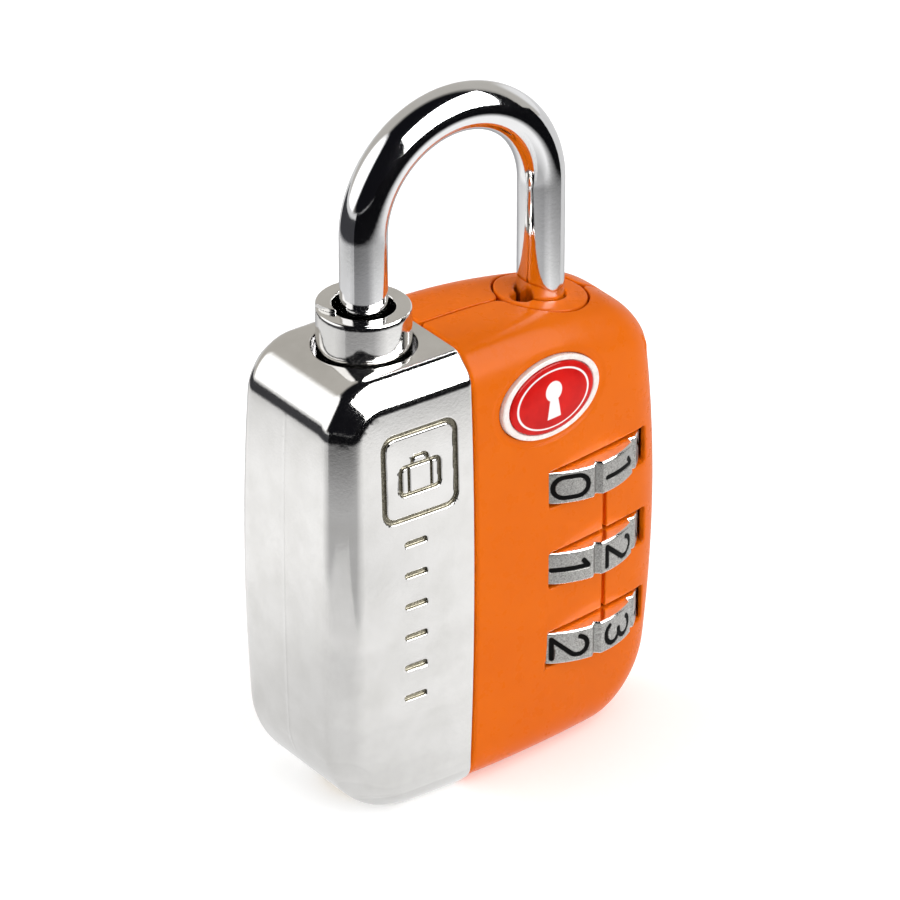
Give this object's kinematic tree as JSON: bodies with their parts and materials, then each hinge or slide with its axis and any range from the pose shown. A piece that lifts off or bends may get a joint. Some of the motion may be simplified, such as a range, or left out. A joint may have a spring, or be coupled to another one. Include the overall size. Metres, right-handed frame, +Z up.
{
  "type": "luggage combination padlock",
  "caption": "Small luggage padlock with code dials, a round shackle, a bright metal end block with a setting collar and an orange shell.",
  "frame": {"origin": "middle of the bounding box at the base", "axes": "+X from the fixed heel leg of the shackle to the toe leg, +Y from the dial face to the back, +Z up along the shackle legs"},
  "size_m": [0.036, 0.0166, 0.0622],
  "materials": {
    "orange_paint": "semi-gloss paint",
    "bright_nickel": "bright nickel plate with a soft polish",
    "chrome_steel": "mirror chrome",
    "satin_dial": "satin silver plate",
    "die_cast_zinc": "as cast, dull",
    "plain_steel": "turned or stamped, plain",
    "spring_steel": "drawn wire and strip",
    "brass": "turned brass",
    "badge_rim": "pale gloss",
    "red_resin": "domed clear resin over red"
  },
  "bodies": {
    "lock_body": {"end_housing": "bright_nickel", "front_shell": "orange_paint", "rear_shell": "orange_paint", "toe_disc": "orange_paint", "badge_rim": "badge_rim", "badge_dome": "red_resin", "chassis": "die_cast_zinc", "chassis_screw_upper": "plain_steel", "chassis_screw_lower": "plain_steel", "case_pin_upper": "plain_steel", "case_pin_lower": "plain_steel", "case_pin_inner": "plain_steel", "retaining_pin": "plain_steel", "collar_clip": "spring_steel", "detent_leaf_top": "spring_steel", "detent_leaf_middle": "spring_steel", "detent_leaf_bottom": "spring_steel", "key_barrel": "brass", "shackle_spring": "spring_steel", "spindle_spring": "spring_steel"},
    "shackle_body": {"shackle": "chrome_steel"},
    "collar_body": {"setting_collar": "bright_nickel"},
    "slider_body": {"reset_slider": "plain_steel"},
    "latch_body": {"latch_bolt": "plain_steel", "latch_spring": "spring_steel"},
    "spindle_body": {"spindle": "plain_steel"},
    "dial_top_body": {"dial_top": "satin_dial", "code_sleeve_top": "brass"},
    "dial_middle_body": {"dial_middle": "satin_dial", "code_sleeve_middle": "brass"},
    "dial_bottom_body": {"dial_bottom": "satin_dial", "code_sleeve_bottom": "brass"},
    "key_body": {"key_plug": "brass", "key_cam": "plain_steel", "wafer_1": "plain_steel", "wafer_2": "plain_steel", "wafer_3": "plain_steel"}
  },
  "joints": [
    {"name": "shackle_lift", "type": "slide", "parent": "lock_body", "child": "shackle_body", "axis": [0, 0, 1], "range_m": [0, 0.0074], "deforming": ["shackle_spring"]},
    {"name": "latch_slide", "type": "slide", "parent": "lock_body", "child": "latch_body", "axis": [-1, 0, 0], "range_m": [0, 0.003]},
    {"name": "spindle_rise", "type": "slide", "parent": "lock_body", "child": "spindle_body", "axis": [0, 0, 1], "range_m": [0, 0.0008], "deforming": ["spindle_spring"]},
    {"name": "dial_top_spin", "type": "hinge", "parent": "lock_body", "child": "dial_top_body", "pos_m": [0.0082, 0, 0.0265], "axis": [0, 0, 1], "continuous": true},
    {"name": "dial_middle_spin", "type": "hinge", "parent": "lock_body", "child": "dial_middle_body", "pos_m": [0.0082, 0, 0.01875], "axis": [0, 0, 1], "continuous": true},
    {"name": "dial_bottom_spin", "type": "hinge", "parent": "lock_body", "child": "dial_bottom_body", "pos_m": [0.0082, 0, 0.011], "axis": [0, 0, 1], "continuous": true},
    {"name": "collar_twist", "type": "hinge", "parent": "lock_body", "child": "collar_body", "pos_m": [-0.00975, 0, 0.0328], "axis": [0, 0, 1], "range_deg": [0, 90]},
    {"name": "reset_shift", "type": "slide", "parent": "lock_body", "child": "slider_body", "axis": [1, 0, 0], "range_m": [0, 0.0008]},
    {"name": "key_turn", "type": "hinge", "parent": "lock_body", "child": "key_body", "pos_m": [-0.00975, 0, 0.002], "axis": [0, 0, 1], "range_deg": [0, 90]}
  ],
  "couplings": [
    {"joint": "latch_slide", "follows": "shackle_lift", "ratio": 0.405},
    {"joint": "spindle_rise", "follows": "shackle_lift", "ratio": 0.1},
    {"joint": "collar_twist", "follows": "reset_shift", "rad_per_m": 1960}
  ]
}
